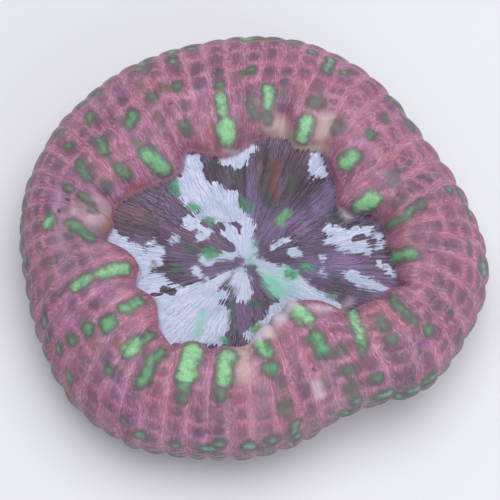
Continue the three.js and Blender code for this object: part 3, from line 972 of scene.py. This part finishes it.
# Coral polyp: the living skin, soft wet tissue over a white skeleton, grown in rows. Its rose
# and plum colours, green lights and white patches are what the eye meets first.
flesh = {
    "rose": "#A26781",
    "roseDeep": "#824E66",
    "roseWarm": "#AA6A78",
    "roseViolet": "#9E6B96",
    "roseLight": "#CF9AB2",
    "crease": "#CC93AE",       # the light lines between the rows and across them
    "spot": "#5B5063",         # grey centres of the lumps
    "spotGreen": "#505D55",
    "rim": "#6C6564",
    "rimLight": "#8B9A94",
    # the two colours of the rim's ripple bands: painted highlight on the crests and painted shade in the
    # folds
    "rimRippleHighlight": "#B9B6B8",
    "rimRippleShade": "#493E40",
    # the spots' dark edge is partly their own colour and partly painted shade of their raised sides
    "greenDark": "#57605B",    # the dark edges of the green spots
    "greenEdge": "#5C9069",
    "greenDim": "#5D7C67",
    "green": "#6AA877",
    "greenBright": "#98CE99",
    "teal": "#8DB5A6",         # the green spots along the rim
    "cream": "#C9B7AC",
    "edgeWhite": "#D8CCD6",
    "pale": "#BFA9B0",
    "orange": "#A8765F",
    "violet": "#A787B4",
    "greyFlesh": "#7D6A78",
    "warm": "#A36A74",
    # painted shade inside the small pits
    "pit": "#54303F",
    "roughness": 0.5,
    "scatter": 0.08,
    "scatterRadius": (0.0012, 0.0006, 0.0005),   # m
    "ior": 1.38,               # wet tissue
}

# The disc's skin, thinner and darker, drawn with fine lines towards the mouth.
discSkin = {
    "plum": "#55435C",
    "plumDark": "#30242F",
    "plumLight": "#9C88AE",
    "deep": "#342B2C",
    "brown": "#6E4A43",
    "streak": "#6F4438",
    "bandViolet": "#8470A0",
    "white": "#CDD3E6",
    "whiteShade": "#8D97B8",
    "whiteBlue": "#A9BCCD",
    "mint": "#7CC3A8",
    "green": "#44A070",
    "greenDark": "#34493C",
    "greenLight": "#6AA877",
}

# Bare skeleton: chalky aragonite, as the animal lays it down, ribbed on the outside.
skeleton = {
    "pale": "#D9D2C4",
    "shade": "#B3A996",
    "pore": "#8E8472",
    "roughness": 0.85,
    "poreSize": 1.0,           # mm
    "septa": 58,               # as many as the rows
}

# Sizes of the uneven patches in mm, and of the fine lines: how many around, how often along.
# The lines come out about 0.3 to 1 mm apart on the ring and 0.1 to 0.3 mm on the disc, where
# they show. How far apart the real ones are isn't known.
grainSizes = {"broad": 13.0, "patches": 5.0, "lumpy": 2.0, "mottle": 1.1, "speckle": 0.4}
lineCounts = {
    "ringFine": (125.0, 0.16), "ringMain": (72.0, 0.13), "ringWide": (42.0, 0.3),
    "discFine": (100.0, 0.08), "discMain": (58.0, 0.09),
}


def makeCoralMaterial():
    material = newMaterial("coral polyp tissue, wet, and chalky aragonite below")
    tree = material.node_tree
    add = functools.partial(addNode, tree)
    ink = {name: linear(code) for name, code in flesh.items() if isinstance(code, str)}
    discInk = {name: linear(code) for name, code in discSkin.items()}
    bone = {name: linear(code) for name, code in skeleton.items() if isinstance(code, str)}
    at = {name: add("Attribute", result="Fac", attribute_name=name) for name in fieldNames}
    place = add("TexCoord", result="Object")
    fibreAt = add("Attribute", result="Vector", attribute_name="fibre")

    def layered(start, layers):
        # colours laid over one another, each with its own share and strength
        colour = start
        for share, strength, over in layers:
            amount = add("Math", (share, strength), **times)
            colour = add("Mix", {0: amount, 6: colour, 7: over}, 2, data_type="RGBA")
        return colour

    for name, size in grainSizes.items():
        at[name] = add("TexNoise", {
            "Vector": place, "Scale": 1 / (size * mm), "Detail": 2.5, "Roughness": 0.55,
        })

    # fine wavy lines that run out along the rows, and a web of light threads beside them
    sway = add("TexNoise", {"Vector": place, "Scale": 1 / (3.4 * mm), "Detail": 1.5}, "Color")
    swayMiddle = add("VectorMath", (sway, (0.5, 0.5, 0.5)), **less)
    swayBy = add("VectorMath", (swayMiddle, (0.06, 0.06, 0.0)), **times)
    wavy = add("VectorMath", (fibreAt, swayBy), **plus)
    for name, (around, along) in lineCounts.items():
        lineAt = add("VectorMath", (wavy, (around, around, along)), **times)
        at[name] = add("TexNoise", {"Vector": lineAt, "Scale": 1.0, "Detail": 1.0, "Roughness": 0.5})
        middle = add("Math", (at[name], 0.5), **less)
        away = add("Math", (middle,), operation="ABSOLUTE")
        at[name + "Web"] = add("MapRange", (away, 0.06, 0.0), **smooth)
    way = at["way"]
    ringWeb = add("Math", (add("Math", (at["ringFineWeb"], 0.6), **times), at["ringMainWeb"]), **greater)
    discWeb = add("Math", (add("Math", (at["discFineWeb"], 0.7), **times), at["discMainWeb"]), **greater)
    outer = add("MapRange", (way, 5.0, 12.0), **smooth)
    inner = add("MapRange", (way, 14.0, 5.0), **smooth)
    ragged = add("Math", (at["mottle"], 0.5), **less)
    lumpy = add("Math", (at["lumpy"], 0.5), **less)
    wobble = add("Math", (ragged, 1.6), **times)

    # flesh of the ring, with most of the light threads between the lumps
    webByLump = add("MapRange", (at["lumpRound"], 0.3, 0.95, 0.55, 1.0), **smooth)
    webShare = add("Math", (ringWeb, webByLump), **times)
    streaks = add("Math", (add("MapRange", (at["ringWide"], 0.5, 0.66), **smooth), inner), **times)
    base = layered(ink["rose"], [
        (add("MapRange", (at["patches"], 0.7, 0.3), **smooth), 1.0, ink["roseDeep"]),
        (add("MapRange", (at["broad"], 0.5, 0.62), **smooth), 0.55, ink["roseWarm"]),
        (add("MapRange", (at["broad"], 0.48, 0.36), **smooth), 0.5, ink["roseViolet"]),
        (add("MapRange", (at["mottle"], 0.5, 0.34), **smooth), 0.5, ink["roseDeep"]),
        (streaks, 0.55, ink["greyFlesh"]),
        (add("MapRange", (at["ringMain"], 0.5, 0.34), **smooth), 0.45, ink["roseDeep"]),
        (webShare, 0.62, ink["roseLight"]),
        (at["warm"], 0.8, ink["warm"]),
        (at["violet"], 0.75, ink["violet"]),
        (at["pale"], 0.8, ink["pale"]),
        (at["grey"], 1.0, ink["greyFlesh"]),
    ])

    # grey centres of the lumps
    lumpCentre = add("MapRange", (at["lumpRound"], 0.95, 0.3), **smooth)
    chance = add("Math", (at["lumpDepth"], lumpCentre), **times)
    chance = add("Math", (chance, add("MapRange", (way, 3.0, 9.0), **smooth)), **times)
    greyInside = add("MapRange", (add("Math", (at["greyField"], wobble), **plus), -0.9, 0.5), **smooth)
    greyShare = add("Math", (add("Math", (greyInside, at["greyTone"]), **times), chance), **greater)
    mottled = add("MapRange", (at["mottle"], 0.25, 0.6, 0.72, 1.0), **smooth)
    greyShare = add("Math", (greyShare, mottled), **times)
    spotTint = layered(ink["spot"], [
        (add("MapRange", (at["patches"], 0.45, 0.65), **smooth), 1.0, ink["spotGreen"]),
    ])

    # light lines: between the rows, across them at the lumps' ends, and a net in places
    creaseAt = add("MapRange", (add("Math", (at["creaseMm"], wobble), **plus), 1.45, -0.1), **smooth)
    creaseLine = add("Math", (creaseAt, add("MapRange", (ringWeb, 0.0, 0.8, 0.35, 1.0), **smooth)), **times)
    gapLine = add("MapRange", (add("Math", (at["gapMm"], wobble), **plus), 0.5, 0.0, 0.0, 0.38), **smooth)
    lines = add("Math", (add("Math", (creaseLine, gapLine), **greater), outer), **times)
    lines = add("Math", (lines, add("MapRange", (at["patches"], 0.3, 0.6, 0.5, 0.85), **smooth)), **times)
    swayPlace = add("VectorMath", (add("VectorMath", (sway, (0.002, 0.002, 0.002)), **times), place), **plus)
    cells = add("TexVoronoi", {"Vector": swayPlace, "Scale": 1 / (1.9 * mm)}, feature="DISTANCE_TO_EDGE")
    netLine = add("Math", (add("MapRange", (cells, 0.12, 0.02, 0.0, 0.48), **smooth), at["net"]), **times)
    lines = add("Math", (lines, netLine), **greater)

    # the rim and what turns under it are greyer, with light and dark bands along its fine ripples: painted
    # highlight on their crests and painted shade in their folds
    rimWay = add("Math", (add("Math", (at["mottle"], 5.0, way), **timesPlus), at["rimShift"]), **plus)
    rimShare = add("Math", (
        add("MapRange", (rimWay, 32.0, 41.0), **smooth),
        add("MapRange", (at["creaseMm"], 0.2, 1.2, 0.35, 1.0), **smooth),
    ), **times)
    rimTint = layered(ink["rim"], [
        (add("MapRange", (at["speckle"], 0.45, 0.65), **smooth), 1.0, ink["rimLight"]),
    ])
    rippleTurn = add("Math", (way, 2 * math.pi / relief["rippleLength"]), **times)
    ripples = add("Math", (add("Math", (at["patches"], 9.0, rippleTurn), **timesPlus),), operation="SINE")
    rippled = add("Math", (
        add("MapRange", (way, 31.0, 37.0), **smooth),
        add("MapRange", (at["patches"], 0.38, 0.6, 0.25, 1.0), **smooth),
    ), **times)
    rippleHighlight = add("Math", (add("MapRange", (ripples, 0.35, 0.95), **smooth), rippled), **times)
    rippleShade = add("Math", (add("MapRange", (ripples, -0.35, -0.95), **smooth), rippled), **times)

    # green spots: a dark edge, partly the spots' own colour and partly painted shade for the sides of raised
    # spots, which the mesh doesn't raise; then green, brightest on the few largest
    greenInside = add("Math", (lumpy, 1.5, at["greenField"]), **timesPlus)
    greenInside = add("Math", (ragged, 1.3, greenInside), **timesPlus)
    tone = at["greenTone"]
    heart = add("Math", (tone, 0.8, add("Math", (greenInside, 0.9), **less)), **timesPlus)
    heartShare = add("Math", (
        add("MapRange", (heart, -0.75, 0.8), **smooth),
        add("MapRange", (tone, 0.05, 0.6, 0.3, 0.98), **smooth),
    ), **times)
    spotEdgeAndShade = add("Math", (
        add("MapRange", (greenInside, -1.3, 0.1), **smooth),
        add("MapRange", (tone, 0.0, 0.5, 0.6, 0.88), **smooth),
    ), **times)
    greenTint = layered(ink["greenDim"], [
        (add("MapRange", (tone, 0.1, 0.5), **smooth), 1.0, ink["green"]),
        (add("MapRange", (tone, 0.55, 0.95), **smooth), 1.0, ink["greenBright"]),
        (at["teal"], 0.8, ink["teal"]),
        (add("MapRange", (at["speckle"], 0.62, 0.35), **smooth), 0.3, ink["greenEdge"]),
        (add("MapRange", (at["mottle"], 0.52, 0.36), **smooth), 0.35, ink["greenEdge"]),
    ])
    edgeLine = add("Math", (
        add("MapRange", (way, 0.1, 0.8), **smooth), add("MapRange", (way, 2.2, 0.9), **smooth),
    ), **times)
    base = layered(base, [
        (greyShare, 0.92, spotTint),
        (lines, 1.0, ink["crease"]),
        (rimShare, 0.8, rimTint),
        # painted highlight on the rim's ripple crests and painted shade in their folds
        (rippleHighlight, 0.45, ink["rimRippleHighlight"]),
        (rippleShade, 0.5, ink["rimRippleShade"]),
        (edgeLine, 0.25, ink["pale"]),
        (at["cream"], 1.0, ink["cream"]),
        (at["orange"], 0.65, ink["orange"]),
        # dark edge of the green spots: partly their own colour, partly painted shade of their raised sides
        (spotEdgeAndShade, 1.0, ink["greenDark"]),
        (heartShare, 1.0, greenTint),
        # painted shade inside small pits that the mesh doesn't have
        (add("MapRange", (at["pitField"], -0.2, 0.15), **smooth), 0.8, ink["pit"]),
    ])

    # disc: plum, with white patches that have feathered ends and are cut by the same lines
    feather = add("Math", (add("Math", (at["discMain"], 0.5), **less), 2.4, at["whiteField"]), **timesPlus)
    feather = add("Math", (lumpy, 1.8, feather), **timesPlus)
    feather = add("Math", (ragged, 1.6, feather), **timesPlus)
    feather = add("Math", (at["dark"], -6.0, feather), **timesPlus)
    whiteTint = layered(discInk["white"], [
        (add("MapRange", (at["patches"], 0.52, 0.4), **smooth), 0.55, discInk["whiteBlue"]),
        (discWeb, 0.85, discInk["whiteShade"]),
        (add("MapRange", (at["discFine"], 0.46, 0.36), **smooth), 0.5, discInk["whiteShade"]),
        (at["mint"], 0.85, discInk["mint"]),
    ])
    discTone = at["discGreenTone"]
    discInside = add("Math", (ragged, 2.0, at["discGreenField"]), **timesPlus)
    discInside = add("Math", (lumpy, 1.5, discInside), **timesPlus)
    discGreen = add("Math", (
        add("MapRange", (discInside, -0.6, 0.6), **smooth),
        add("MapRange", (discTone, 0.0, 0.7, 0.45, 0.95), **smooth),
    ), **times)
    discGreenTint = layered(discInk["greenDark"], [
        (add("MapRange", (discTone, 0.1, 0.65), **smooth), 1.0, discInk["green"]),
        (add("MapRange", (discTone, 0.5, 0.9), **smooth), 1.0, discInk["greenLight"]),
        (add("MapRange", (at["speckle"], 0.6, 0.35), **smooth), 0.6, discInk["greenDark"]),
    ])
    disc = layered(discInk["plum"], [
        (add("MapRange", (at["patches"], 0.62, 0.35), **smooth), 0.8, discInk["plumDark"]),
        (at["discViolet"], 0.8, discInk["bandViolet"]),
        (at["brown"], 1.0, discInk["brown"]),
        (add("MapRange", (at["broad"], 0.5, 0.62), **smooth), 0.3, discInk["brown"]),
        (add("MapRange", (at["discMain"], 0.5, 0.36), **smooth), 0.55, discInk["plumDark"]),
        (discWeb, 0.5, discInk["plumLight"]),
        (at["deep"], 0.8, discInk["deep"]),
        (at["streak"], 0.85, discInk["streak"]),
        (at["mint"], 0.55, discInk["mint"]),
        (add("MapRange", (feather, -0.42, -0.16), **smooth), 1.0, whiteTint),
        (discGreen, 1.0, discGreenTint),
    ])

    # the ring's flesh starts at the disc's edge
    edgeAt = add("Math", (add("Math", (at["discMain"], 0.5), **less), 1.6, way), **timesPlus)
    skinColour = layered(disc, [
        (add("MapRange", (edgeAt, -0.4, 0.6), **smooth), 1.0, base),
        (at["white"], 0.9, ink["edgeWhite"]),
    ])

    # skeleton under the rim: bone white with pores, and a star of septa where it is cut
    pores = add("TexNoise", {"Vector": place, "Scale": 1 / (skeleton["poreSize"] * mm), "Detail": 3.0})
    height = add("SeparateXYZ", (place,), "Z")
    onCut = add("MapRange", (height, 0.00012, 0.00004), **smooth)
    boneWay = add("MapRange", (add("Math", (ragged, 1.4, way), **timesPlus), 44.4, 45.0), **smooth)
    boneShare = add("Math", (boneWay, onCut), **greater)
    mouthPlace = (form["mouth"][0] * mm, form["mouth"][1] * mm, 0.0)
    fromMouth = add("VectorMath", (place, mouthPlace), **less)
    fromMouthX, fromMouthY = [add("SeparateXYZ", (fromMouth,), axis) for axis in "XY"]
    turnAt = add("Math", (fromMouthY, fromMouthX), operation="ARCTAN2")
    septa = add("Math", (add("Math", (turnAt, float(skeleton["septa"])), **times),), operation="SINE")
    septaShare = add("Math", (add("MapRange", (septa, 0.2, 0.7), **smooth), onCut), **times)
    boneColour = layered(bone["pore"], [
        (add("MapRange", (pores, 0.4, 0.62), **smooth), 1.0, bone["pale"]),
        (add("MapRange", (at["patches"], 0.35, 0.7), **smooth), 0.5, bone["shade"]),
        (septaShare, 0.6, bone["pore"]),
    ])
    finish = layered(skinColour, [(boneShare, 1.0, boneColour)])

    bumpHeight = add("Math", (at["ringMain"], 0.7, add("Math", (at["speckle"], 0.3), **times)), **timesPlus)
    bump = add("Bump", {"Strength": 0.35, "Distance": 0.00015, "Height": bumpHeight})
    shader = add("BsdfPrincipled", {
        "Base Color": finish,
        "Roughness": add("MapRange", (boneShare, 0.0, 1.0, flesh["roughness"], skeleton["roughness"])),
        "IOR": flesh["ior"],
        "Subsurface Weight": add("MapRange", (boneShare, 0.0, 1.0, flesh["scatter"], 0.0)),
        "Subsurface Radius": flesh["scatterRadius"],
        "Subsurface Scale": 1.0,
        "Normal": bump,
    })
    addNode(tree, "OutputMaterial", {"Surface": shader})
    return material


coralMesh.materials.append(makeCoralMaterial())
coralPiece = bpy.data.objects.new(coral["name"], coralMesh)
bpy.context.scene.collection.objects.link(coralPiece)
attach(coralPiece, "root")
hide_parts("scolymia_coral")
say("the coral is coloured and in place")

# Floor: a plain pale card.
floorCard = {
    "size": 3.0,          # m
    "colour": "#E4E4E9",
    "roughness": 0.9,
}


def makeFloor():
    half = floorCard["size"] / 2
    mesh = bpy.data.meshes.new("floor")
    corners = [(-half, -half, 0.0), (half, -half, 0.0), (half, half, 0.0), (-half, half, 0.0)]
    mesh.from_pydata(corners, [], [(0, 1, 2, 3)])
    material = newMaterial("matt pale card")     # plain, so that only the coral is looked at
    tree = material.node_tree
    shader = addNode(tree, "BsdfPrincipled", {
        "Base Color": linear(floorCard["colour"]), "Roughness": floorCard["roughness"],
    })
    addNode(tree, "OutputMaterial", {"Surface": shader})
    mesh.materials.append(material)
    card = bpy.data.objects.new("floor", mesh)
    card.location.z = -0.0001
    bpy.context.scene.collection.objects.link(card)


makeFloor()

# Light: one broad soft light overhead, a weaker one from the front and an even sky.
lights = {
    "overhead": {"place": (0.06, 0.04, 0.55), "size": 0.55, "power": 2.2, "colour": "#FFFFFF"},
    "front": {"place": (0.3, -0.55, 0.35), "size": 0.5, "power": 1.3, "colour": "#F4F6FF"},
    "sky": {"colour": "#F1F2F6", "strength": 0.5},
}


def makeLights():
    for name in ("overhead", "front"):
        values = lights[name]
        data = bpy.data.lights.new(name, "AREA")
        data.shape = "DISK"
        data.size = values["size"]
        data.energy = values["power"]
        data.color = linear(values["colour"])[:3]
        lamp = bpy.data.objects.new(name, data)
        lamp.location = values["place"]
        aim = Vector((0.0, 0.0, 0.01)) - lamp.location
        lamp.rotation_euler = aim.to_track_quat("-Z", "Y").to_euler()
        bpy.context.scene.collection.objects.link(lamp)
    sky = bpy.data.worlds.new("sky")
    sky.use_nodes = True
    background = sky.node_tree.nodes["Background"]
    background.inputs["Color"].default_value = linear(lights["sky"]["colour"])
    background.inputs["Strength"].default_value = lights["sky"]["strength"]
    bpy.context.scene.world = sky


makeLights()
bpy.context.scene.view_settings.view_transform = "Standard"
say("floor and lights are set")
